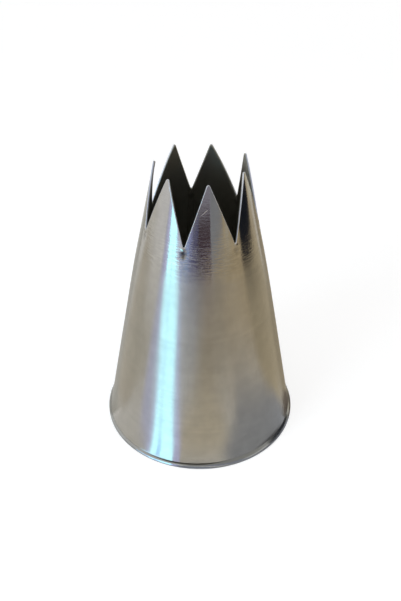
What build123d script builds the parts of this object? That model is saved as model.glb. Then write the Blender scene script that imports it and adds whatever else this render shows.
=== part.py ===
from build123d import *

import os
from math import atan2, cos, pi, sin, tan

# Open star piping nozzle for a pastry bag, standing on its wide end with its teeth up.
# A fan of stainless steel sheet is rolled to a cone and butt-welded along one line at the back.
# Notches are cut round the small end, which leaves a crown of pointed teeth, and the
# wide end is doubled back over itself into a rim. The axis is Z, the rim stands on Z = 0, one
# tooth points to -Y and the weld runs down the back at +Y, under the notch opposite.
# All sizes are in millimetres.

# Sheet
sheet = 0.4

# Outside face of the cone: a straight lower part, and a top part that closes in a little faster
nozzle_height = 51.5
top_part_height = 18.9
foot_radius = 17.13
knee_radius = 11.31
tip_radius = 7.42
knee_blend = 7.0

# Crown of teeth
tooth_count = 7
notch_depth = 10.5
notch_root_round = 0.15
tooth_tip_width = 0.5
tooth_tip_round = 0.28

# Doubled rim
rim_wrap = 0.37
rim_height = 1.0
rim_fold_round = 0.3
rim_lip_round = 0.12
rim_inner_round = 0.12

# Weld
seam_width = 0.8
bead_proud = 0.12
bead_round = 0.1

# Every cutting tool runs this far past what it cuts
overrun = 2.0

knee_height = nozzle_height - top_part_height
notch_apex_height = nozzle_height - notch_depth
lower_taper = atan2(foot_radius - knee_radius, knee_height)
upper_taper = atan2(knee_radius - tip_radius, nozzle_height - knee_height)
wall_across = sheet / cos(lower_taper)
tooth_pitch = 2 * pi / tooth_count


def outside_radius(height):
    """Radius of the cone's outside face at a height, on its two straight parts."""
    if height < knee_height:
        return foot_radius + (knee_radius - foot_radius) * height / knee_height
    share = (height - knee_height) / (nozzle_height - knee_height)
    return knee_radius + (tip_radius - knee_radius) * share


def wall_section(plane, across):
    """Section of the wall from its foot to the tooth tips, from the outside face to across inside it."""
    blend_low = knee_height - knee_blend
    blend_high = knee_height + knee_blend

    def face_line(inset):
        foot = (outside_radius(sheet) - inset, sheet)
        below = (outside_radius(blend_low) - inset, blend_low)
        knee = (knee_radius - inset, knee_height)
        above = (outside_radius(blend_high) - inset, blend_high)
        tip = (tip_radius - inset, nozzle_height)
        Line(foot, below)
        Bezier(below, knee, above)
        Line(above, tip)
        return foot, tip

    with BuildSketch(plane) as section:
        with BuildLine():
            outer_foot, outer_tip = face_line(0)
            inner_foot, inner_tip = face_line(across)
            Line(outer_foot, inner_foot)
            Line(outer_tip, inner_tip)
        make_face()
    return section.sketch


def notch_punch():
    """The cutter for the notch at +Y: a V with a rounded root, whose sides point at the nozzle's axis."""
    apex_radius = outside_radius(notch_apex_height)
    # Half a pitch round from the notch, less half the width left on the tooth's tip
    corner_angle = tooth_pitch / 2 - tooth_tip_width / 2 / tip_radius
    rise = (nozzle_height - notch_apex_height) * cos(upper_taper)
    lean = (apex_radius - tip_radius * cos(corner_angle)) * sin(upper_taper)
    corner_up = rise + lean
    stretch = (corner_up + overrun) / corner_up

    def outline(out):
        """The V in a plane square to the wall, that far outside it, or inside where out is negative."""
        corner_from_axis = apex_radius + out * cos(upper_taper) - corner_up * sin(upper_taper)
        across, up = corner_from_axis * tan(corner_angle) * stretch, corner_up * stretch
        plane = Plane(
            origin=(0, apex_radius + out * cos(upper_taper), notch_apex_height + out * sin(upper_taper)),
            x_dir=(-1, 0, 0),
            z_dir=(0, cos(upper_taper), sin(upper_taper)),
        )
        with BuildSketch(plane) as section:
            with BuildLine():
                Polyline((0, 0), (across, up), (-across, up), close=True)
            make_face()
        return section.sketch

    with BuildPart() as cutter:
        loft([outline(-overrun), outline(overrun)], ruled=True)
        root_edge = cutter.edges().sort_by(Axis.Z)[0]
        fillet(root_edge, notch_root_round)
    return cutter.part


def tip_trim():
    """The cutter that domes the tip of the tooth at -Y: a block, square to the wall, less a round of the tip's size."""
    plane = Plane(
        origin=(0, -tip_radius, nozzle_height),
        x_dir=(1, 0, 0),
        z_dir=(0, -cos(upper_taper), sin(upper_taper)),
    )
    with BuildPart() as cutter:
        with BuildSketch(plane):
            with Locations((0, -tooth_tip_round)):
                Rectangle(overrun * 2, tooth_tip_round + overrun, align=(Align.CENTER, Align.MIN))
                Circle(tooth_tip_round, mode=Mode.SUBTRACT)
        extrude(amount=overrun, both=True)
    return cutter.part


punch = notch_punch()
dome = tip_trim()

with BuildPart() as seamless_wall:
    revolve(wall_section(Plane.XZ, wall_across), Axis.Z)

# Sheet wall: the rolled cone with its teeth, open along the back where the weld closes it
with BuildPart() as cone_wall:
    add(seamless_wall.part)
    with PolarLocations(0, tooth_count):
        add(punch, mode=Mode.SUBTRACT)
        add(dome, mode=Mode.SUBTRACT)
    extrude(wall_section(Plane.YZ, wall_across + overrun), amount=seam_width / 2, both=True, mode=Mode.SUBTRACT)
cone_wall.part.label = "cone_wall"

# Weld: fills the gap in the rolled wall, flush outside and a little proud inside
with BuildPart() as seam_weld:
    extrude(wall_section(Plane.YZ, wall_across + bead_proud), amount=seam_width / 2, both=True)
    add(punch, mode=Mode.SUBTRACT)
    inner_faces = seam_weld.faces().filter_by(lambda face: -face.normal_at().Y > abs(face.normal_at().Z))
    fillet(inner_faces.edges().filter_by(lambda edge: abs(edge.center().X) > bead_round), bead_round)
seam_weld.part.label = "seam_weld"

# Rim: the sheet doubled back under the wall's foot and up its outside
with BuildPart() as base_rim:
    rim_radius = foot_radius + rim_wrap
    foot_bore = foot_radius - wall_across
    lean_in = rim_height * (foot_radius - knee_radius) / knee_height
    with BuildSketch(Plane.XZ) as rim_section:
        with BuildLine():
            Polyline(
                (foot_bore, 0),
                (rim_radius, 0),
                (rim_radius - lean_in, rim_height),
                (outside_radius(rim_height), rim_height),
                (outside_radius(sheet), sheet),
                (outside_radius(sheet) - wall_across, sheet),
                close=True,
            )
        make_face()
        rim_foot = rim_section.vertices().group_by(Axis.Z)[0].sort_by(Axis.X)
        rim_lip = rim_section.vertices().group_by(Axis.Z)[-1]
        fillet(rim_foot[0], rim_inner_round)
        fillet(rim_foot[-1], rim_fold_round)
        fillet(rim_lip, rim_lip_round)
    revolve(rim_section.sketch, Axis.Z)
base_rim.part.label = "base_rim"

os.makedirs("parts", exist_ok=True)
for piece in (cone_wall, seam_weld, base_rim):
    export_step(piece.part, f"parts/{piece.part.label}.step")
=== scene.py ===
"""An open star piping nozzle of rolled stainless steel, standing on its rim on a pale floor.

Lengths are in metres. The axis is Z and the rim stands on Z = 0. Angles round the nozzle are
counted from the tooth at -Y towards +X, so the welded seam lies at half a turn.
"""

from math import asin, atan, atan2, cos, exp, pi, radians, sin

import bpy
from mathutils import Matrix, Vector, noise


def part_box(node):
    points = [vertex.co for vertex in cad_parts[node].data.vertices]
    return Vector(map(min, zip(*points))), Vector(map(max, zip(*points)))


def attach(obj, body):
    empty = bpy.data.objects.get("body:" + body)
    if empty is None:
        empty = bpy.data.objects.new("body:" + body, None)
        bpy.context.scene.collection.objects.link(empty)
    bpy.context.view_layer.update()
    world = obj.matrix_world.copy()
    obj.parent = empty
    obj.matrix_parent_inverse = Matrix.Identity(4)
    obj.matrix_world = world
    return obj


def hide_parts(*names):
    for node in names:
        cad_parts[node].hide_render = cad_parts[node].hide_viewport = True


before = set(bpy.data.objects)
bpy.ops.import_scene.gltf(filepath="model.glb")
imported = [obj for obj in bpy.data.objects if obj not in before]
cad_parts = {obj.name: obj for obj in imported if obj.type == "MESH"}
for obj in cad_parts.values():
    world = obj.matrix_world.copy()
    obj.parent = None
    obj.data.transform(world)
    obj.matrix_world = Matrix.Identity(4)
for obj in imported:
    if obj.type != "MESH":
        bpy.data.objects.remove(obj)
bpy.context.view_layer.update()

MM = 0.001

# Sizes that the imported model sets
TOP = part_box("cone_wall")[1][2]
RIM_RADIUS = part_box("base_rim")[1][0]
RIM_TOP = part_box("base_rim")[1][2]
WALL_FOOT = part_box("cone_wall")[0][2]
SEAM_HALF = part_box("seam_weld")[1][0]

# Sheet and outside profile
SHEET = 0.4 * MM
FOOT_RADIUS = 17.13 * MM
KNEE_RADIUS = 11.31 * MM
TIP_RADIUS = 7.42 * MM
KNEE_HEIGHT = TOP - 18.9 * MM
KNEE_BLEND = 7 * MM
UPPER_SLOPE = (KNEE_RADIUS - TIP_RADIUS) / (TOP - KNEE_HEIGHT)
LOWER_SLOPE = (FOOT_RADIUS - KNEE_RADIUS) / KNEE_HEIGHT
UPPER_TAPER = atan(UPPER_SLOPE)

# Waves of the rolled sheet fade out over the lowest part of the wall
WAVE_FADE = 4 * MM

# Each kind of wave: how tightly it turns round the nozzle, its length up the wall, its height, its shift
SLOW_WAVE = (1.3, 14 * MM, 0.03 * MM, 0)
QUICK_WAVE = (5, 22 * MM, 0.012 * MM, 7)

# Where the wall's foot flares out to meet the rim, how far, from what height, and how far round
FLARE = 0.26 * MM
FLARE_TOP = 3.2 * MM
FLARE_AZIMUTH = radians(-68)
FLARE_SPREAD = radians(44)

# Crown of teeth
TEETH = 7
PITCH = 2 * pi / TEETH
BACK_NOTCH = 3
NOTCH_APEX = TOP - 10.5 * MM
ROOT_ROUND = 0.15 * MM
TIP_ROUND = 0.27 * MM
TIP_HEIGHT = TOP - 0.15 * MM

# How each tooth, from the one at -Y towards +X, strays at its tip: leans out, sways round, grows taller
TOOTH_STRAYS = tuple(tuple(value * MM for value in stray) for stray in (
    (0.0, -0.08, 0.0),
    (0.08, 0.3, 0.14),
    (0.42, 0.0, 0.15),
    (0.1, 0.3, -0.4),
    (0.0, 0.0, 0.14),
    (0.0, 0.0, 0.13),
    (0.0, -0.12, 0.0),
))

# How much higher each notch is cut, from the first past -Y towards +X
NOTCH_RISES = tuple(value * MM for value in (0.0, 0.0, 0.25, 0.35, 0.15, 0.0, 0.0))

# How far below a notch the sheet follows its rise
NOTCH_FOLLOW = 2 * MM

# Dent under each notch
DENT_BELOW = 0.7 * MM
DENT_DEPTH = 0.07 * MM
DENT_HALF_WIDTH = 0.42 * MM
DENT_HALF_HEIGHT = 0.55 * MM

# Burr that stands round the root of each notch
BURR_HEIGHT = 0.06 * MM
BURR_REACH = 0.3 * MM

# Diamond-shaped painted shade in the dents, how quickly it grows from its edge, and how dark it is under
# each notch, from the first past -Y towards +X
DENT_SHADE_HALF_WIDTH = 0.85 * MM
DENT_SHADE_HALF_HEIGHT = 1.3 * MM
DENT_SHADE_GROWTH = 1.5
DENT_SHADE_SHARES = (0.25, 0.2, 0.3, 0.5, 0.2, 0.3, 0.95)

# Cut edge of the sheet, from the outside face to the inside: how far in from the edge, and how deep
EDGE_SECTION = tuple((inset * MM, depth * MM) for inset, depth in (
    (0.14, 0.0), (0.06, 0.0), (0.02, 0.012), (0.0, 0.05),
    (0.0, 0.22), (0.03, 0.3), (0.09, 0.37), (0.18, 0.4)))

# How many steps over the cut edge are bright
BRIGHT_STEPS = 3

# Bead inside the weld: its height, how much of that ripples, the ripple's length and bend, and where
# the bead fades out below the notch
BEAD_HEIGHT = 0.1 * MM
BEAD_RIPPLE = 0.25
BEAD_RIPPLE_LENGTH = 0.11 * MM
BEAD_RIPPLE_BEND = 1.5
BEAD_FADE = 1.5 * MM

# Where the rim's lip stands off the wall, how far round, how abruptly that ends, and how much further out
# its shoulder is there
LIP_AZIMUTH = radians(-20)
LIP_SPREAD = radians(22)
LIP_POWER = 4
LIP_STAND = 0.12 * MM

# The shoulder leans in with the wall over this height
SHOULDER_HEIGHT = 1 * MM

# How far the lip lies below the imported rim's top, all round and at the front left, and how far round
LIP_BELOW = 0.05 * MM
LIP_DROP = 0.22 * MM
DROP_AZIMUTH = radians(-40)
DROP_SPREAD = radians(36)

# How unevenly the lip is cut and the shoulder pinched: how tightly that turns round the rim, a shift that
# keeps the two apart, and how far it goes
LIP_UNEVEN = (3, 0, 0.05 * MM)
SHOULDER_UNEVEN = (4, 5, 0.03 * MM)

# The folded rim's section in steps out and up, in millimetres. The fold is counted from the bore and from
# the rim's outside at the floor. The standing lip then goes on from the outside at the floor, from the
# shoulder at the lip's height and from the wall at the lip's height.
FOLD_FROM_BORE = ((0.02, 0.2), (0.09, 0.06), (0.2, 0.008), (0.32, 0.0))
FOLD_FROM_OUTSIDE = ((-0.34, 0.0), (-0.2, 0.02), (-0.09, 0.08), (-0.02, 0.17))
STANDING_FROM_OUTSIDE = ((0.0, 0.3), (-0.01, 0.36))
STANDING_FROM_SHOULDER = ((0.04, -0.25), (-0.02, -0.14), (-0.08, -0.07), (-0.14, -0.03))
STANDING_FROM_WALL = ((0.05, 0.0), (0.05, -0.1), (0.01, -0.2))

# Where the lip is pressed flush, it goes straight up from the last place that is counted from the outside,
# by these shares of the way, to where it touches the wall, so far above the lip's height
PRESSED_FROM_OUTSIDE = ((0.0, 0.3), (-0.03, 0.45))
PRESSED_SHARES = (0.0, 0.4, 0.8, 0.97, 1.0)
PRESSED_TOP = 0.06
PRESSED_FROM_WALL = ((0.005, 0.0), (0.005, -0.04), (0.005, -0.08))

# Standing or pressed, the section ends at the wall's foot, this far outside it
FOOT_GAP = 0.01 * MM

# Mesh density
ROOT_STEPS = 4
SIDE_STEPS = 20
TIP_STEPS = 6
CROWN_ROWS = 26
CROWN_FOOT = NOTCH_APEX - 0.1 * MM
ROOT_ROWS_FOOT = 37 * MM
ROOT_ROW = 0.25 * MM
KNEE_ROWS_FOOT = 25 * MM
KNEE_ROW = 0.6 * MM
LOW_ROW = 1.2 * MM
SEAM_FADE = 24
SEARCH_STEPS = 30
RIM_STEPS = 360

# Noise over the steel: how tightly it turns round the nozzle, its waves per metre up it, an offset that
# keeps the patterns apart, and the noise's detail and roughness
LINES = (1.2, 9000, 0.0, 3.0, 0.5)
BANDS = (1.5, 1300, 3.0, 3.0, 0.6)
SMUDGES = (3.0, 180, 9.0, 4.0, 0.55)
POLISH_EDGE = (5.0, 2600, 5.0, 2.0, 0.5)
MARKS = (5.0, 3800, 11.0, 3.0, 0.6)
GRAIN = (30.0, 2500, 17.0, 2.0, 0.5)
MOTTLE = (7.0, 420, 21.0, 4.0, 0.6)

# How far smudges change the roughness, how much the painted dent shade darkens, and the relief's strength
# and depth
SMUDGE_ROUGHNESS = 0.05
DENT_SHADE_DARKNESS = 0.85
RELIEF_STRENGTH = 0.25
RELIEF_DEPTH = 0.01 * MM

# The highlight is stretched along the nozzle, a quarter turn from the lines round it
HIGHLIGHT_TURN = 0.25

# Polished crown: the border's heights and how far it frays
POLISH_FOOT = 34 * MM
POLISH_TOP = 38.5 * MM
POLISH_FRAY = 5 * MM

# Rubbed marks on the crown: the part of the noise that shows, the heights between which they come in and
# go, how much of them stays above, and how much they lighten and raise the steel
MARKS_RANGE = (0.35, 0.7)
MARKS_IN = (35.5 * MM, 38 * MM)
MARKS_OUT = (40 * MM, 45 * MM)
MARKS_LEFT = 0.15
MARKS_SHADE = 0.08
MARKS_RELIEF = 1.1

# Grain's relief, and the part of the mottle's noise that shows and how much it lightens or darkens
GRAIN_RELIEF = 1.5
MOTTLE_RANGE = (0.3, 0.7)
MOTTLE_SHADE = 0.04

# Fine line round the wall below the knee: a painted shade that grows up to it, and a painted highlight
# above it
LINE_SHADE_FOOT = 15 * MM
LINE_FOOT = 24.8 * MM
LINE_SHADE_TOP = 25 * MM
LINE_PEAK = 25.1 * MM
LINE_TOP = 25.6 * MM
LINE_SHADE = -0.035
LINE_HIGHLIGHT = 0.015

# Scratch on the tooth at -Y: its ends, its width, the shares of its length where it has come in and
# starts to go, how much its painted glint lightens the steel, and how much it roughens the steel
SCRATCH_START = Vector((-1.68, -8.3, 46.45)) * MM
SCRATCH_END = Vector((-0.24, -8.22, 47.62)) * MM
SCRATCH_WIDTH = 0.075 * MM
SCRATCH_IN = 0.6
SCRATCH_OUT = 0.9
SCRATCH_GLINT = 1.2
SCRATCH_ROUGHNESS = 0.3

# Camera, fitted to the photograph of 401 by 601 pixels
PICTURE_HEIGHT = 601
CAMERA_AZIMUTH = radians(-9.785)
CAMERA_REACH = 116.4 * MM
CAMERA_HEIGHT = 112.43 * MM
CAMERA_PITCH = radians(37.145)
CAMERA_ROLL = radians(0.154)
FOCAL_PIXELS = 827.74
CENTRE_OFFSET_PIXELS = 0.33
SENSOR_HEIGHT = 24

# Floor: its half width and its colour. What shows of it gets brighter between two distances from the axis,
# and the metal mirrors it darker just outside the rim.
FLOOR_REACH = 3.0
FLOOR_COLOUR = (0.5, 0.5, 0.5, 1)
FLOOR_FADE_START = 100 * MM
FLOOR_FADE_END = 700 * MM
FLOOR_GLOW_NEAR = 0.66
FLOOR_GLOW_FAR = 0.78
CONTACT_SHADE = 0.8 * MM

# Share of the white surroundings' brightness that falls on things as light
WORLD_LIGHT = 0.5

# Soft lamps: name, angle from the camera's side, distance from the axis, height above the floor, the
# lamp's own width and height, its strength and its colour
LAMPS = (
    ("window_near", radians(-55), 0.26, 0.12, 0.085, 0.24, 5.0, (0.78, 0.88, 1.0)),
    ("window_far", radians(-38), 0.26, 0.12, 0.06, 0.24, 4.0, (0.78, 0.88, 1.0)),
    ("overhead", radians(20), 0.35, 0.8, 0.6, 0.6, 1.2, (1.0, 0.98, 0.95)),
)

# Surroundings that the wall mirrors: name, feather, height, colour and light, and outline. The feather is
# how wide the card's faint edge is, and card_core says how it is counted. Each point of the outline is in
# millimetres, to the right of the camera's line and then towards the camera. A card with a height stands
# on its outline, one without lies on the floor, and the first is the ceiling.
MIRRORED = (
    ("dull_ceiling", 0.2, 0, (0.5, 0.5, 0.48), (
        (-400, -900), (1700, -900), (1700, 1700), (-400, 1700))),
    ("cool_front", 0.4, 0, (0.78, 0.85, 0.98), (
        (-12, 15), (-70, 90), (-200, 500), (60, 600), (30, 100), (4, 18))),
    ("warm_table", 0.3, 0, (0.78, 0.66, 0.47), (
        (-8, 40), (-40, 160), (-60, 700), (500, 900), (900, 100), (600, -600), (10, -60), (16, 8))),
    ("grey_left", -0.25, 0, (0.84, 0.8, 0.72), (
        (-20, 7), (-18, -16), (-50, -44), (-120, -60), (-120, 4), (-45, 12))),
    ("tan_right", 0.3, 0, (0.76, 0.67, 0.5), (
        (16, 5), (44, 16), (110, 30), (110, -70), (26, -34), (18, -12))),
    ("pale_front", 0.5, 0, (0.97, 0.9, 0.75), (
        (-14, 16), (-16, 40), (-6, 62), (12, 62), (22, 36), (14, 17))),
    # Painted shadow of the nozzle on the floor beside its foot, which the wall mirrors
    ("cool_shade", 0.25, 0, (0.52, 0.56, 0.65), (
        (3.5, 16.5), (4.8, 21.5), (7.8, 23.7), (10.8, 25.3), (15, 28), (20.5, 29.5), (28, 35), (36, 37),
        (40, 26), (38, 10), (30, 0), (22, -1), (16, 2), (10, 12))),
    ("olive_front", 0.6, 0, (0.62, 0.56, 0.44), (
        (-12, 46), (-20, 100), (20, 120), (70, 100), (58, 46), (20, 46))),
    ("olive_left", 0.5, 0, (0.84, 0.82, 0.75), (
        (-28, 18), (-48, 28), (-72, 24), (-82, -6), (-66, -40), (-30, -22))),
    ("pale_left", 0.4, 0, (1.3, 1.35, 1.5), (
        (-60, 40), (-110, -40), (-500, -200), (-900, 300), (-400, 700), (-130, 260), (-80, 120))),
    ("dim_front", 0.1, 0, (0.46, 0.5, 0.6), (
        (-70, 165), (-120, 500), (0, 1200), (700, 1000), (300, 330), (170, 170), (60, 150))),
    ("dim_room", 0.1, 300, (0.42, 0.46, 0.6), ((-250, 700), (650, 560))),
    ("violet_haze", -0.1, 0, (0.72, 0.85, 1.75), (
        (-45, 150), (-110, 150), (-150, 200), (-135, 330), (-35, 300), (-38, 220))),
    ("slate_front", -0.05, 0, (0.62, 0.64, 1.0), (
        (-110, 138), (-100, 185), (-40, 205), (35, 200), (72, 180), (68, 158), (0, 154), (-50, 150),
        (-85, 128))),
    ("blue_haze", -0.06, 0, (0.45, 0.85, 1.6), (
        (-94, 136), (-114, 152), (-133, 180), (-104, 206), (-76, 226), (-52, 205), (-38, 168), (-64, 154))),
    ("navy_front", -0.04, 0, (0.16, 0.16, 0.4), (
        (-76, 170), (-80, 236), (-76, 290), (-40, 345), (0, 345), (0, 170))),
    ("dark_front", 0.04, 0, (0.07, 0.03, 0.045), (
        (-40, 175), (-24, 250), (-18, 330), (0, 345), (112, 335), (104, 305), (84, 260), (70, 220),
        (60, 170))),
    ("dark_figure", 0.04, 50, (0.55, 0.55, 0.75), ((-18, 380), (134, 350))),
    ("neutral_right", -0.1, 0, (0.78, 0.75, 0.68), (
        (95, 120), (200, 110), (420, 200), (600, 600), (330, 340), (180, 175), (100, 150))),
    ("pale_right", -0.1, 0, (1.0, 0.97, 0.84), (
        (105, -62), (170, -75), (500, -125), (500, -600), (60, -500), (40, -110))),
    ("dark_side", 0.03, 0, (0.015, 0.02, 0.035), (
        (120, 38), (170, 37), (500, 60), (500, -130), (160, -76), (128, -62), (114, -40), (106, -4))),
    ("dark_door", 0.03, 57, (0.015, 0.02, 0.035), ((172, 40), (162, -78))),
    ("grey_rim_left", -0.08, 0, (0.64, 0.64, 0.61), (
        (-16.8, 4.5), (-20.5, 4), (-22.5, 0), (-27, -8), (-35, -19), (-53, -38), (-71, -55), (-95, -84),
        (-38, -100), (-29, -70), (-20, -45), (-18, -22), (-17.4, -10), (-16.8, 1))),
    ("umber_rim_right", -0.08, 0, (0.44, 0.38, 0.28), (
        (17.2, 2), (21, 0), (24, -3.5), (28, -8), (39, -18.5), (53, -39), (68, -56), (88, -84),
        (38, -100), (29, -70), (20, -45), (18, -22), (17.4, -10), (17, -3))),
    ("brown_foot_right", -0.05, 0, (0.17, 0.14, 0.12), (
        (16.8, 5), (18, 5.2), (19.6, 2.8), (21.6, -0.4), (20.6, -2.6), (18.6, -3.4), (17.4, -3), (17, 0))),
    ("violet_left", -0.1, 0, (0.96, 1.03, 1.5), (
        (-9, 14.2), (-15.5, 14.3), (-22, 13.5), (-30, 14), (-40, 15.5), (-64, 20), (-92, 30), (-134, 50),
        (-200, 80), (-420, 190), (-400, 260), (-200, 130), (-140, 90), (-98, 58), (-60, 40), (-30, 25),
        (-12, 18))),
    ("window_frame", -0.05, 0, (1.15, 1.25, 2.0), (
        (-9.5, 14.1), (-15.0, 16.0), (-46, 30.5), (-98, 43), (-160, 82), (-205, 100), (-520, 250),
        (-420, 490), (-182, 222), (-108, 165), (-63, 117), (-25, 57), (-7.2, 26), (-3.4, 16.9))),
    ("window_panes", -0.035, 0, (1.95, 3.75, 4.6), (
        (-9, 14.4), (-13.7, 17), (-41.7, 33.4), (-91, 49.8), (-149, 96), (-190, 114), (-500, 280),
        (-400, 420), (-183, 188), (-70, 107), (-29.5, 50.4), (-9, 23.4), (-4.6, 16.4))),
    ("window_bar", -0.015, 0, (1.0, 1.9, 3.4), (
        (-8, 15.1), (-11.9, 18.3), (-115, 94), (-130, 112), (-112, 99), (-10.7, 19.0), (-7.2, 15.6))),
)

# The cards that lie on the floor are at small heights above it, one step apart
CARD_START = 0.05 * MM
CARD_STEP = 0.006 * MM
CEILING_HEIGHT = 600 * MM

# Cards in an arc just outside the rim, which its fold mirrors as a painted glow and painted contact shade:
# name, inner radius in millimetres, start and end in degrees from the camera's side, how far they bulge out
# in millimetres, colour and light
FOOT_ARCS = (
    ("foot_glow", 17.55, -42, -17, 1.4, (1.9, 3.0, 4.2)),
    ("foot_shade", 17.75, -17, 12, 0.75, (0.42, 0.47, 0.6)),
    ("foot_dark", 17.55, 36, 68, 0.8, (0.06, 0.06, 0.07)),
)
ARC_STEPS = 12
ARC_LEAST_WIDTH = 0.05
ARC_FEATHER = -0.006


def outer_radius(z):
    """Radius of the wall's outside face: two straight parts with a parabola between them."""
    low, high = KNEE_HEIGHT - KNEE_BLEND, KNEE_HEIGHT + KNEE_BLEND
    if z <= low:
        return FOOT_RADIUS - LOWER_SLOPE * z
    if z >= high:
        return TIP_RADIUS + UPPER_SLOPE * (TOP - z)
    share = (z - low) / (high - low)
    start = FOOT_RADIUS - LOWER_SLOPE * low
    end = TIP_RADIUS + UPPER_SLOPE * (TOP - high)
    return start * (1 - share) ** 2 + 2 * KNEE_RADIUS * share * (1 - share) + end * share ** 2


def taper(z):
    """Angle of the wall's outside face from the vertical."""
    low, high = KNEE_HEIGHT - KNEE_BLEND, KNEE_HEIGHT + KNEE_BLEND
    share = min(max((z - low) / (high - low), 0), 1)
    return atan(LOWER_SLOPE * (1 - share) + UPPER_SLOPE * share)


def swell(phi, azimuth, spread, power=2):
    """1 at an angle round the nozzle, and fading to 0 on both sides, more abruptly with more power."""
    return exp(-abs(asin(sin((phi - azimuth) / 2)) * 2 / spread) ** power)


def wave(phi, z, turns, length, height, shift):
    """Height of one kind of wave in the rolled sheet."""
    return height * noise.noise(Vector((sin(phi) * turns + shift, cos(phi) * turns, z / length)))


def waviness(phi, z):
    """How far the rolled sheet strays from a true cone, with the flare at its foot."""
    fade = min(z / WAVE_FADE, 1)
    low = min(max((FLARE_TOP - z) / FLARE_TOP, 0), 1)
    flare = FLARE * low ** 2 * (3 - 2 * low) * swell(phi, FLARE_AZIMUTH, FLARE_SPREAD)
    return fade * (wave(phi, z, *SLOW_WAVE) + wave(phi, z, *QUICK_WAVE)) + flare


def nearest_notch(phi, z):
    """The notch nearest to an angle, and how far round the wall the angle is from its centre line."""
    notch = round(phi / PITCH - 0.5)
    return notch, (phi - (notch + 0.5) * PITCH) * outer_radius(z)


def root_dent(phi, z):
    """The burr that the punch raises round the root of each notch, and the small dent just below it."""
    _, across = nearest_notch(phi, z)
    up = z - (NOTCH_APEX - DENT_BELOW)
    dent = DENT_DEPTH * exp(-((across / DENT_HALF_WIDTH) ** 2) - (up / DENT_HALF_HEIGHT) ** 2)
    burr = BURR_HEIGHT * exp(-(across ** 2 + (z - NOTCH_APEX) ** 2) / BURR_REACH ** 2)
    return burr - dent


def painted_dent_shade(point):
    """How dark the painted shade in the dent under a notch is at a point of the wall, from 0 to 1."""
    notch, across = nearest_notch(atan2(point.x, -point.y), point.z)
    up = abs(point.z - (NOTCH_APEX - DENT_BELOW)) / DENT_SHADE_HALF_HEIGHT
    inside = 1 - abs(across) / DENT_SHADE_HALF_WIDTH - up
    return DENT_SHADE_SHARES[notch % TEETH] * min(max(DENT_SHADE_GROWTH * inside, 0), 1)


def tooth_stray(phi, z):
    """How far a point on a tooth is pushed outwards, round and up."""
    share = (z - NOTCH_APEX) / (TIP_HEIGHT - NOTCH_APEX)
    notch = phi / PITCH - 0.5
    to_tooth = abs(notch - round(notch)) * 2
    follow = min(max(1 + (z - NOTCH_APEX) / NOTCH_FOLLOW, 0), 1)
    notch_rise = NOTCH_RISES[round(notch) % TEETH] * (1 - to_tooth) * follow
    if share <= 0:
        return 0, 0, notch_rise
    out, sway, rise = TOOTH_STRAYS[round(phi / PITCH) % TEETH]
    return out * share ** 2, sway * share ** 2, rise * share + notch_rise


def wall_point(phi, z, depth):
    """Point of the wall at an angle and height, that deep below its outside face."""
    out, sway, rise = tooth_stray(phi, z)
    lean = taper(z)
    radius = outer_radius(z) + waviness(phi, z) + root_dent(phi, z) + out - depth * cos(lean)
    phi += sway / radius
    return Vector((radius * sin(phi), -radius * cos(phi), z + rise - depth * sin(lean)))


def direction(angle):
    """Unit step on the unrolled sheet, at an angle from +Y to +X."""
    return Vector((sin(angle), cos(angle)))


def crown_pitch():
    """Half of one pitch of the cut edge, on the unrolled sheet, from a notch's root to the next tip.

    The unrolled cone's apex is the origin and the notch's centre line is +Y, so +Y is down the
    wall. Each entry is a point of the edge and the angle of its inward normal, from +Y to +X.
    """
    sine = sin(UPPER_TAPER)
    apex_reach = outer_radius(NOTCH_APEX) / sine
    tip_reach = outer_radius(TIP_HEIGHT) / sine
    half_pitch = PITCH / 2 * sine
    tip_centre = direction(half_pitch) * (tip_reach + TIP_ROUND)
    apex = Vector((0, apex_reach))
    to_tip = tip_centre - apex
    side_angle = atan2(to_tip.x, -to_tip.y) - asin(TIP_ROUND / to_tip.length)
    root_centre = Vector((0, apex_reach - ROOT_ROUND / sin(side_angle)))
    turn = pi / 2 - side_angle
    entries = []
    for step in range(ROOT_STEPS):
        angle = turn * step / ROOT_STEPS
        entries.append((root_centre + direction(angle) * ROOT_ROUND, angle))
    side_start = root_centre + direction(turn) * ROOT_ROUND
    side_end = tip_centre - direction(turn) * TIP_ROUND
    for step in range(SIDE_STEPS):
        entries.append((side_start.lerp(side_end, step / SIDE_STEPS), turn))
    for step in range(TIP_STEPS + 1):
        angle = turn + (half_pitch - turn) * step / TIP_STEPS
        entries.append((tip_centre - direction(angle) * TIP_ROUND, angle))
    return entries


def crown_place(entry, inset):
    """Angle and height, on the nozzle, of an edge entry moved inwards from the edge.

    An edge entry is the notch that it belongs to, 1 or -1 for the side of it, the point and its angle.
    """
    notch, hand, point, angle = entry
    point = point + direction(angle) * inset
    sine = sin(UPPER_TAPER)
    phi = (notch + 0.5) * PITCH + hand * atan2(point.x, point.y) / sine
    z = TOP - (point.length - TIP_RADIUS / sine) * cos(UPPER_TAPER)
    return phi, z


def seam_entry():
    """The edge entry where the wall ends at the seam, and how many steps of the side lie before it."""
    pitch_edge = crown_pitch()
    start, end = pitch_edge[ROOT_STEPS], pitch_edge[ROOT_STEPS + SIDE_STEPS]
    low, high = 0, 1
    for _ in range(SEARCH_STEPS):
        middle = (low + high) / 2
        point = start[0].lerp(end[0], middle)
        phi, z = crown_place((0, 1, point, start[1]), 0)
        if outer_radius(z) * sin(phi - PITCH / 2) < SEAM_HALF:
            low = middle
        else:
            high = middle
    return (BACK_NOTCH, 1, start[0].lerp(end[0], low), start[1]), low * SIDE_STEPS


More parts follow.
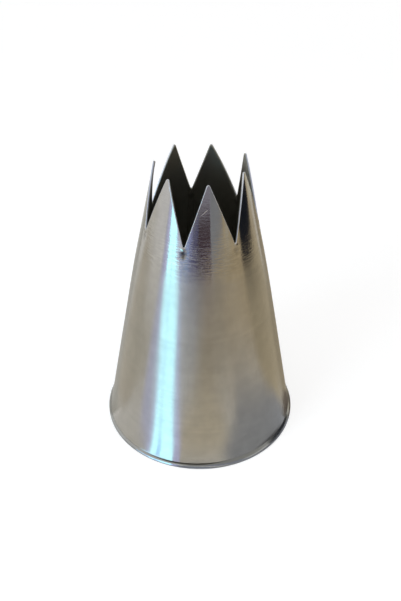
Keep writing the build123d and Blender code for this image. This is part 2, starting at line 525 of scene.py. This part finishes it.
def wall_edge():
    """Edge entries of the wall, from the seam round to the seam."""
    half = crown_pitch()
    start, skipped = seam_entry()
    first = ROOT_STEPS + int(skipped) + 1
    entries = [start] + [(BACK_NOTCH, 1, point, angle) for point, angle in half[first:]]
    for notch in range(BACK_NOTCH + 1, BACK_NOTCH + TEETH + 1):
        entries += [(notch, -1, point, angle) for point, angle in reversed(half[:-1])]
        entries += [(notch, 1, point, angle) for point, angle in half[1:]]
    surplus = len(half) - 1 + first
    return entries[:-surplus] + [(BACK_NOTCH + TEETH, -1, start[2], start[3])]


def weld_edge():
    """Edge entries of the weld, across the root of the back notch."""
    half = crown_pitch()
    end, skipped = seam_entry()
    last = ROOT_STEPS + int(skipped) + 1
    inner = half[1:last] + [(end[2], end[3])]
    left = [(BACK_NOTCH, -1, point, angle) for point, angle in reversed(inner)]
    right = [(BACK_NOTCH, 1, point, angle) for point, angle in half[:1] + inner]
    return left + right


def body_rows():
    """Heights of the mesh rows below the crown, from the notches to the foot."""
    rows, z = [], CROWN_FOOT
    while z > WALL_FOOT:
        rows.append(z)
        if z > ROOT_ROWS_FOOT:
            z -= ROOT_ROW
        elif z > KNEE_ROWS_FOOT:
            z -= KNEE_ROW
        else:
            z -= LOW_ROW
    return rows + [WALL_FOOT]


def column(entry, drift, inner_depth=lambda z: SHEET):
    """One closed loop of points through the sheet, from the foot up the outside, over the edge and down.

    The drift is the angle that the column's line takes at a height, which lets it run along the seam.
    """
    phi_in, z_in = crown_place(entry, EDGE_SECTION[0][0])
    heights = [z_in + (CROWN_FOOT - z_in) * row / CROWN_ROWS for row in range(1, CROWN_ROWS)] + body_rows()
    places = [(phi_in + drift(z) - drift(z_in), z) for z in heights]
    loop = [wall_point(phi, z, 0) for phi, z in reversed(places)]
    for inset, depth in EDGE_SECTION:
        phi, z = crown_place(entry, inset)
        loop.append(wall_point(phi, z, depth))
    return loop + [wall_point(phi, z, inner_depth(z)) for phi, z in places]


def sheet_finishes():
    """Finish of each step along a column: 0 on the outside and the foot, 2 on the cut edge and 1 inside."""
    rows = len(body_rows()) + CROWN_ROWS - 1
    inside = rows + len(EDGE_SECTION) - BRIGHT_STEPS - 2
    return [0] * (rows + 1) + [2] * BRIGHT_STEPS + [1] * inside + [0]


def end_cap(start, count, hand):
    """Quads across a loop of points, which close the end of a row of loops."""
    quads = []
    for step in range(count // 2 - 1):
        quad = (start + step, start + step + 1, start + count - 2 - step, start + count - 1 - step)
        quads.append(quad[::hand])
    return quads


def skin(name, loops, step_finishes, closed=False):
    """Mesh through a row of equal loops of points; open rows get an end cap of quads at each end."""
    count = len(loops[0])
    points = [point for loop in loops for point in loop]
    faces, finishes = [], []
    for span in range(len(loops) if closed else len(loops) - 1):
        here, there = span * count, (span + 1) % len(loops) * count
        for step in range(count):
            after = (step + 1) % count
            faces.append((here + step, there + step, there + after, here + after))
        finishes += step_finishes
    if not closed:
        caps = end_cap(0, count, 1) + end_cap((len(loops) - 1) * count, count, -1)
        faces += caps
        finishes += [0] * len(caps)
    mesh = bpy.data.meshes.new(name)
    mesh.from_pydata(points, [], faces)
    for polygon, finish in zip(mesh.polygons, finishes):
        polygon.use_smooth = True
        polygon.material_index = finish
    # Painted shade in the dents under the notches, kept on the points
    painted_shade = mesh.attributes.new("painted_dent_shade", "FLOAT", "POINT")
    painted_shade.data.foreach_set("value", [painted_dent_shade(point) for point in points])
    mesh.validate()
    piece = bpy.data.objects.new(name, mesh)
    bpy.context.scene.collection.objects.link(piece)
    return piece


def seam_drift(z):
    """Angle that the seam's edge takes at a height."""
    return asin(SEAM_HALF / outer_radius(z))


def make_wall():
    """The rolled and notched sheet, with rounded edges, open along the back where the weld fills it."""
    entries = wall_edge()
    loops = []
    for index, entry in enumerate(entries):
        near_start = max(1 - index / SEAM_FADE, 0)
        near_end = max(1 - (len(entries) - 1 - index) / SEAM_FADE, 0)
        loops.append(column(entry, lambda z: (near_start - near_end) * seam_drift(z)))
    return skin("wall_sheet", loops, sheet_finishes())


def bead_depth(across, z):
    """Depth of the weld's inner face, with its rippled bead; across goes from -1 to 1 over the weld."""
    crest = max(1 - across ** 2, 0) ** 0.5
    ripple = 1 - BEAD_RIPPLE + BEAD_RIPPLE * sin(z / BEAD_RIPPLE_LENGTH + BEAD_RIPPLE_BEND * across ** 2)
    fade = min(max((NOTCH_APEX - z) / BEAD_FADE, 0), 1)
    return SHEET + BEAD_HEIGHT * crest * ripple * fade


def make_weld():
    """The weld: ground flush outside, and a rippled bead inside."""
    middle = (BACK_NOTCH + 0.5) * PITCH
    loops = []
    for entry in weld_edge():
        phi, z = crown_place(entry, EDGE_SECTION[0][0])
        across = min(max((phi - middle) * outer_radius(z) / SEAM_HALF, -1), 1)
        loops.append(column(entry, lambda z: across * seam_drift(z), lambda z: bead_depth(across, z)))
    return skin("back_weld", loops, sheet_finishes())


def placed(radius, z, steps):
    """Points of a section, each so many millimetres out and up from a radius and a height."""
    return [Vector((radius + out * MM, z + up * MM)) for out, up in steps]


def uneven(ring, turns, shift, height):
    """Slow noise round the rim."""
    return height * noise.noise(Vector((ring.x * turns, ring.y * turns, shift)))


def rim_section(phi, ring):
    """The rim's section at an angle, from its bore under the fold up to the lip, as radius and height.

    The ring is the unit vector at that angle.
    """
    bore = outer_radius(WALL_FOOT) - SHEET / cos(taper(WALL_FOOT))
    opened = swell(phi, LIP_AZIMUTH, LIP_SPREAD, LIP_POWER)
    lip = RIM_TOP - LIP_BELOW + uneven(ring, *LIP_UNEVEN)
    lip -= LIP_DROP * swell(phi, DROP_AZIMUTH, DROP_SPREAD)
    wall = outer_radius(lip) + waviness(phi, lip)
    shoulder = RIM_RADIUS - LOWER_SLOPE * SHOULDER_HEIGHT + LIP_STAND * opened
    shoulder += uneven(ring, *SHOULDER_UNEVEN)
    pressed_start, pressed_foot = placed(RIM_RADIUS, 0.0, PRESSED_FROM_OUTSIDE)
    touch_out = PRESSED_FROM_WALL[0][0] - LOWER_SLOPE * PRESSED_TOP
    pressed_top = placed(wall, lip, ((touch_out, PRESSED_TOP),))[0]
    pressed = [pressed_start] + [pressed_foot.lerp(pressed_top, share) for share in PRESSED_SHARES]
    pressed += placed(wall, lip, PRESSED_FROM_WALL)
    standing = placed(RIM_RADIUS, 0.0, STANDING_FROM_OUTSIDE)
    standing += placed(shoulder, lip, STANDING_FROM_SHOULDER)
    standing += placed(wall, lip, STANDING_FROM_WALL)
    section = [Vector((bore, WALL_FOOT))]
    section += placed(bore, 0.0, FOLD_FROM_BORE)
    section += placed(RIM_RADIUS, 0.0, FOLD_FROM_OUTSIDE)
    section += [flush.lerp(proud, opened) for flush, proud in zip(pressed, standing)]
    return section + [Vector((outer_radius(WALL_FOOT) + FOOT_GAP, WALL_FOOT))]


def make_rim():
    """The sheet turned back over itself at the foot, with a lip that stands off the wall in front."""
    loops = []
    for step in range(RIM_STEPS):
        phi = 2 * pi * step / RIM_STEPS
        ring = Vector((sin(phi), -cos(phi)))
        section = rim_section(phi, ring)
        loops.append([Vector((ring.x * radius, ring.y * radius, z)) for radius, z in section])
    return skin("folded_rim", loops, [0] * len(loops[0]), closed=True)


class Nodes:
    """A material's or the world's node tree, with short calls for adding and joining nodes."""

    def __init__(self, owner):
        owner.use_nodes = True
        self.tree = owner.node_tree
        self.tree.nodes.clear()

    def add(self, kind, inputs=None, **settings):
        node = self.tree.nodes.new("ShaderNode" + kind)
        for key, value in settings.items():
            setattr(node, key, value)
        for key, value in (inputs or {}).items():
            self.feed(node.inputs[key], value)
        return node

    def feed(self, socket, value):
        if isinstance(value, bpy.types.NodeSocket):
            self.tree.links.new(value, socket)
        else:
            socket.default_value = value

    def math(self, operation, *values):
        node = self.add("Math", operation=operation)
        for socket, value in zip(node.inputs, values):
            self.feed(socket, value)
        return node.outputs[0]

    def plus(self, total, *values):
        for value in values:
            total = self.math("ADD", total, value)
        return total

    def times(self, product, *values):
        for value in values:
            product = self.math("MULTIPLY", product, value)
        return product

    def ramp(self, value, low, high, start=0.0, end=1.0):
        """Value carried smoothly from the range low to high into start to end."""
        node = self.add("MapRange", interpolation_type="SMOOTHSTEP")
        names = ("Value", "From Min", "From Max", "To Min", "To Max")
        for name, number in zip(names, (value, low, high, start, end)):
            self.feed(node.inputs[name], number)
        return node.outputs[0]

    def place(self):
        """A point's place on the object, as one vector and as x, y and z."""
        vector = self.add("TexCoord").outputs["Object"]
        return vector, self.add("SeparateXYZ", {"Vector": vector}).outputs


def pattern(nodes, turns, rate, offset, detail, roughness):
    """Noise that runs round the axis without a break, at one rate round it and another along it."""
    _, (x, y, z) = nodes.place()
    radius = nodes.math("SQRT", nodes.plus(nodes.times(x, x), nodes.times(y, y)))
    around = [nodes.times(nodes.math("DIVIDE", part, radius), turns) for part in (x, y)]
    up = nodes.plus(nodes.times(z, rate), offset)
    vector = nodes.add("CombineXYZ", {"X": around[0], "Y": around[1], "Z": up}).outputs[0]
    settings = {"Vector": vector, "Scale": 1.0, "Detail": detail, "Roughness": roughness}
    return nodes.add("TexNoise", settings).outputs["Fac"]


def scratch_mark(nodes):
    """1 on the fine scratch across the tooth at -Y, and 0 elsewhere."""
    place, (_, y, _) = nodes.place()
    from_start = nodes.add("VectorMath", {0: place, 1: SCRATCH_START}, operation="SUBTRACT").outputs[0]
    length = (SCRATCH_END - SCRATCH_START).length
    run = (SCRATCH_END - SCRATCH_START).normalized()
    rise = Vector((0, -1, 0)).cross(run)
    along = nodes.add("VectorMath", {0: from_start, 1: run}, operation="DOT_PRODUCT").outputs["Value"]
    across = nodes.add("VectorMath", {0: from_start, 1: rise}, operation="DOT_PRODUCT").outputs["Value"]
    line = nodes.ramp(nodes.math("ABSOLUTE", across), 0.0, SCRATCH_WIDTH, 1.0, 0.0)
    began = nodes.ramp(along, 0.0, length * SCRATCH_IN)
    ended = nodes.ramp(along, length * SCRATCH_OUT, length, 1.0, 0.0)
    front = nodes.math("LESS_THAN", y, 0.0)
    return nodes.times(nodes.times(line, began), nodes.times(ended, front))


def outside_wear(nodes, shade, rough, relief, crown_polish):
    """Shade, roughness and relief, with what only the outside has: polish, marks, a line with painted shade
    and highlight, and grain.
    """
    _, (_, _, z) = nodes.place()
    frayed = nodes.plus(z, nodes.times(pattern(nodes, *POLISH_EDGE), POLISH_FRAY))
    polish = nodes.ramp(frayed, POLISH_FOOT + POLISH_FRAY / 2, POLISH_TOP + POLISH_FRAY / 2)
    marks = nodes.ramp(pattern(nodes, *MARKS), *MARKS_RANGE, -1.0, 1.0)
    marked = nodes.times(nodes.ramp(z, *MARKS_IN), nodes.ramp(z, *MARKS_OUT, 1.0, MARKS_LEFT))
    marks = nodes.times(marks, marked)
    mottle = nodes.ramp(pattern(nodes, *MOTTLE), *MOTTLE_RANGE, -MOTTLE_SHADE, MOTTLE_SHADE)
    # Painted shade under the fine line below the knee, and a painted highlight along it
    below = nodes.times(
        nodes.ramp(z, LINE_FOOT, LINE_SHADE_TOP, 1.0, 0.0), nodes.ramp(z, LINE_SHADE_FOOT, LINE_FOOT))
    painted_line_highlight = nodes.times(nodes.ramp(z, LINE_FOOT, LINE_PEAK), nodes.ramp(z, LINE_PEAK, LINE_TOP, 1.0, 0.0))
    # The scratch is a real mark; the lighter colour along it is a painted glint
    scratch = scratch_mark(nodes)
    shade = nodes.plus(
        shade, nodes.times(marks, MARKS_SHADE), mottle, nodes.times(below, LINE_SHADE),
        nodes.times(painted_line_highlight, LINE_HIGHLIGHT), nodes.times(scratch, SCRATCH_GLINT))
    rough = nodes.math("SUBTRACT", rough, nodes.times(polish, crown_polish))
    rough = nodes.plus(rough, nodes.times(scratch, SCRATCH_ROUGHNESS))
    grain = nodes.times(pattern(nodes, *GRAIN), GRAIN_RELIEF)
    return shade, rough, nodes.plus(relief, nodes.times(marks, MARKS_RELIEF), grain)


def steel(name, tint, roughness, anisotropy, streaks, crown_polish=0.0):
    """Stainless steel turned round the axis, with fine lines, broader bands, smudges and painted shade in
    the dents.

    With a crown polish the crown is that much smoother, down to a streaky border below the notches.
    """
    material = bpy.data.materials.new(name)
    nodes = Nodes(material)
    relief = pattern(nodes, *BANDS)
    lines = pattern(nodes, *LINES)
    shade = nodes.plus(nodes.times(lines, streaks), nodes.times(relief, streaks), 1 - streaks)
    # Painted shade darkens the colour in the dents under the notches
    painted_shade = nodes.times(nodes.add("Attribute", attribute_name="painted_dent_shade").outputs["Fac"], DENT_SHADE_DARKNESS)
    shade = nodes.times(shade, nodes.math("SUBTRACT", 1.0, painted_shade))
    smudge = nodes.times(pattern(nodes, *SMUDGES), SMUDGE_ROUGHNESS)
    rough = nodes.plus(smudge, roughness - SMUDGE_ROUGHNESS / 2)
    if crown_polish:
        shade, rough, relief = outside_wear(nodes, shade, rough, relief, crown_polish)
    grey = nodes.add("CombineXYZ", {"X": shade, "Y": shade, "Z": shade}).outputs[0]
    colour = nodes.add("VectorMath", {0: tint, 1: grey}, operation="MULTIPLY").outputs[0]
    bump = nodes.add("Bump", {"Strength": RELIEF_STRENGTH, "Distance": RELIEF_DEPTH, "Height": relief})
    shader = nodes.add("BsdfPrincipled", {
        "Base Color": colour,
        "Metallic": 1.0,
        "Roughness": rough,
        "Anisotropic": anisotropy,
        "Anisotropic Rotation": HIGHLIGHT_TURN,
        "Normal": bump.outputs[0],
        "Tangent": nodes.add("Tangent", direction_type="RADIAL", axis="Z").outputs[0],
    })
    nodes.add("OutputMaterial", {"Surface": shader.outputs[0]})
    return material


def seen_rays(nodes):
    """1 for what the camera sees, straight or mirrored, and 0 for the light that falls on things."""
    path = nodes.add("LightPath")
    straight = nodes.math("MAXIMUM", path.outputs["Is Camera Ray"], path.outputs["Is Glossy Ray"])
    return nodes.math("MAXIMUM", straight, path.outputs["Is Transmission Ray"])


def floor_material():
    """Pale floor. Outside the rim it shows white to the camera and in the metal, and keeps its shadow."""
    material = bpy.data.materials.new("pale_floor")
    nodes = Nodes(material)
    place, _ = nodes.place()
    radius = nodes.add("VectorMath", {0: place}, operation="LENGTH").outputs["Value"]
    outside = nodes.math("GREATER_THAN", radius, RIM_RADIUS)
    contact = nodes.ramp(radius, RIM_RADIUS, RIM_RADIUS + CONTACT_SHADE, -1.0, 0.0)
    mirrored = nodes.times(nodes.add("LightPath").outputs["Is Glossy Ray"], contact)
    lift = nodes.times(nodes.plus(seen_rays(nodes), mirrored), outside)
    level = nodes.ramp(radius, FLOOR_FADE_START, FLOOR_FADE_END, FLOOR_GLOW_NEAR, FLOOR_GLOW_FAR)
    shader = nodes.add("BsdfDiffuse", {"Color": FLOOR_COLOUR})
    glow = nodes.add("Emission", {"Color": (1, 1, 1, 1), "Strength": nodes.times(lift, level)})
    total = nodes.add("AddShader", {0: shader.outputs[0], 1: glow.outputs[0]})
    nodes.add("OutputMaterial", {"Surface": total.outputs[0]})
    return material


def make_floor():
    """Flat square floor, with the nozzle at its middle."""
    mesh = bpy.data.meshes.new("floor")
    corners = [(x * FLOOR_REACH, y * FLOOR_REACH, 0) for x, y in ((-1, -1), (1, -1), (1, 1), (-1, 1))]
    mesh.from_pydata(corners, [], [(0, 1, 2, 3)])
    mesh.materials.append(floor_material())
    floor = bpy.data.objects.new("floor", mesh)
    bpy.context.scene.collection.objects.link(floor)


def card_core(corners, feather):
    """Corners of the part of a card that isn't faint.

    A feather above 0 draws them in by that share of the way to the card's middle. One below 0 draws
    them in square to the outline, by that share of their distance from the nozzle's axis.
    """
    if feather > 0:
        middle = sum(corners, Vector()) / len(corners)
        return [corner.lerp(middle, feather) for corner in corners]
    before, after = corners[-1:] + corners[:-1], corners[1:] + corners[:1]
    turn = sum(corner.x * later.y - corner.y * later.x for corner, later in zip(corners, after))
    hand = 1 if turn > 0 else -1
    core = []
    for earlier, corner, later in zip(before, corners, after):
        ahead = (corner - earlier).normalized() + (later - corner).normalized()
        inward = Vector((-ahead.y, ahead.x, 0)).normalized() * hand
        core.append(corner - inward * corner.xy.length * feather)
    return core


def card_material(name, glow):
    """Light of one colour, as clear as air where the card's cover is 0."""
    material = bpy.data.materials.new(name)
    nodes = Nodes(material)
    colour = nodes.add("Emission", {"Color": (*glow, 1), "Strength": 1.0})
    share = nodes.ramp(nodes.add("Attribute", attribute_name="cover").outputs["Fac"], 0.0, 1.0)
    clear = nodes.add("BsdfTransparent")
    total = nodes.add("MixShader", {0: share, 1: clear.outputs[0], 2: colour.outputs[0]})
    nodes.add("OutputMaterial", {"Surface": total.outputs[0]})
    return material


def card(name, corners, feather, glow):
    """Flat card, faint at its edges, that only the metal mirrors: it isn't seen and lights nothing."""
    count = len(corners)
    rim = [(step, (step + 1) % count, (step + 1) % count + count, step + count) for step in range(count)]
    mesh = bpy.data.meshes.new(name)
    mesh.from_pydata(corners + card_core(corners, feather), [], rim + [tuple(range(count, 2 * count))])
    cover = mesh.attributes.new("cover", "FLOAT", "POINT")
    cover.data.foreach_set("value", [0.0] * count + [1.0] * count)
    mesh.materials.append(card_material(name, glow))
    piece = bpy.data.objects.new(name, mesh)
    piece.matrix_world = Matrix.Rotation(CAMERA_AZIMUTH, 4, "Z")
    for ray in ("camera", "diffuse", "transmission", "volume_scatter", "shadow"):
        setattr(piece, "visible_" + ray, False)
    bpy.context.scene.collection.objects.link(piece)


def foot_arc(near, start, end, bulge, level):
    """Outline of a card in an arc just outside the rim, widest at its middle."""
    count = ARC_STEPS + 1
    turns = [radians(start + (end - start) * step / ARC_STEPS) for step in range(count)]
    arc = [Vector((sin(turn), -cos(turn), 0)) for turn in turns]
    lift = Vector((0, 0, level))
    bulges = [bulge * sin(pi * (step + 0.5) / count) for step in range(count)]
    far = [(near + ARC_LEAST_WIDTH + more) * MM for more in bulges]
    outer = [place * reach + lift for place, reach in zip(arc, far)]
    return [place * near * MM + lift for place in arc] + outer[::-1]


def make_cards():
    """What the polished wall and rim mirror besides the floor and the white surroundings."""
    for index, (name, feather, height, glow, outline) in enumerate(MIRRORED):
        level = CARD_START + CARD_STEP * index if index else CEILING_HEIGHT
        corners = [Vector((right * MM, -near * MM, level)) for right, near in outline]
        if height:
            corners += [corner + Vector((0, 0, height * MM)) for corner in reversed(corners)]
        card(name, corners, feather, glow)
    level = CARD_START + CARD_STEP * len(MIRRORED)
    for name, near, start, end, bulge, glow in FOOT_ARCS:
        card(name, foot_arc(near, start, end, bulge, level), ARC_FEATHER, glow)


def make_world():
    """White surroundings, which give less light than they show."""
    world = bpy.data.worlds.new("studio")
    bpy.context.scene.world = world
    nodes = Nodes(world)
    strength = nodes.plus(nodes.times(seen_rays(nodes), 1 - WORLD_LIGHT), WORLD_LIGHT)
    back = nodes.add("Background", {"Color": (1, 1, 1, 1), "Strength": strength})
    nodes.add("OutputWorld", {"Surface": back.outputs[0]})


def soft_box(name, azimuth, distance, height, width, tall, strength, colour):
    """Rectangular area light that faces the nozzle, at an angle round it from the camera's side."""
    light = bpy.data.lights.new(name, "AREA")
    light.shape = "RECTANGLE"
    light.size, light.size_y = width, tall
    light.energy = strength * pi * width * tall
    light.color = colour
    turn = CAMERA_AZIMUTH + azimuth
    place = Vector((sin(turn) * distance, -cos(turn) * distance, height))
    lamp = bpy.data.objects.new(name, light)
    lamp.location = place
    lamp.rotation_euler = (Vector((0, 0, TOP / 2)) - place).to_track_quat("-Z", "Y").to_euler()
    lamp.visible_camera = False
    lamp.visible_glossy = False
    bpy.context.scene.collection.objects.link(lamp)


def make_camera():
    """Camera at the photograph's angle and distance."""
    camera = bpy.data.cameras.new("camera")
    camera.sensor_fit = "VERTICAL"
    camera.sensor_height = SENSOR_HEIGHT
    camera.lens = FOCAL_PIXELS * SENSOR_HEIGHT / PICTURE_HEIGHT
    camera.shift_x = CENTRE_OFFSET_PIXELS / PICTURE_HEIGHT
    camera.clip_start = 1 * MM
    turn = Matrix.Rotation(CAMERA_AZIMUTH, 4, "Z")
    place = Matrix.Translation((0, -CAMERA_REACH, CAMERA_HEIGHT))
    tilt = Matrix.Rotation(pi / 2 - CAMERA_PITCH, 4, "X") @ Matrix.Rotation(CAMERA_ROLL, 4, "Z")
    holder = bpy.data.objects.new("camera", camera)
    holder.matrix_world = turn @ place @ tilt
    bpy.context.scene.collection.objects.link(holder)
    bpy.context.scene.camera = holder


outside_steel = steel(
    "turned_steel", (0.33, 0.31, 0.268), roughness=0.245, anisotropy=0.7, streaks=0.12, crown_polish=0.15)
inside_steel = steel("inner_steel", (0.33, 0.32, 0.27), roughness=0.42, anisotropy=0.5, streaks=0.1)
edge_steel = steel("edge_steel", (0.66, 0.68, 0.72), roughness=0.35, anisotropy=0.0, streaks=0.0)
rim_steel = steel("rim_steel", (0.335, 0.335, 0.32), roughness=0.2, anisotropy=0.3, streaks=0.08)
weld_steel = steel("weld_steel", (0.3, 0.28, 0.25), roughness=0.36, anisotropy=0.3, streaks=0.1)

# Each piece's finishes are in the order of its faces' numbers: outside, inside, cut edge
for piece, node, slot, finishes in (
        (make_wall(), "cone_wall", "sheet_steel", (outside_steel, inside_steel, edge_steel)),
        (make_weld(), "seam_weld", "weld_steel", (weld_steel, inside_steel, edge_steel)),
        (make_rim(), "base_rim", "rim_steel", (rim_steel,))):
    for finish in finishes:
        piece.data.materials.append(finish)
    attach(piece, "root")
    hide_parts(node)

make_floor()
make_world()
for lamp in LAMPS:
    soft_box(*lamp)
make_cards()
make_camera()
bpy.context.scene.view_settings.view_transform = "Standard"
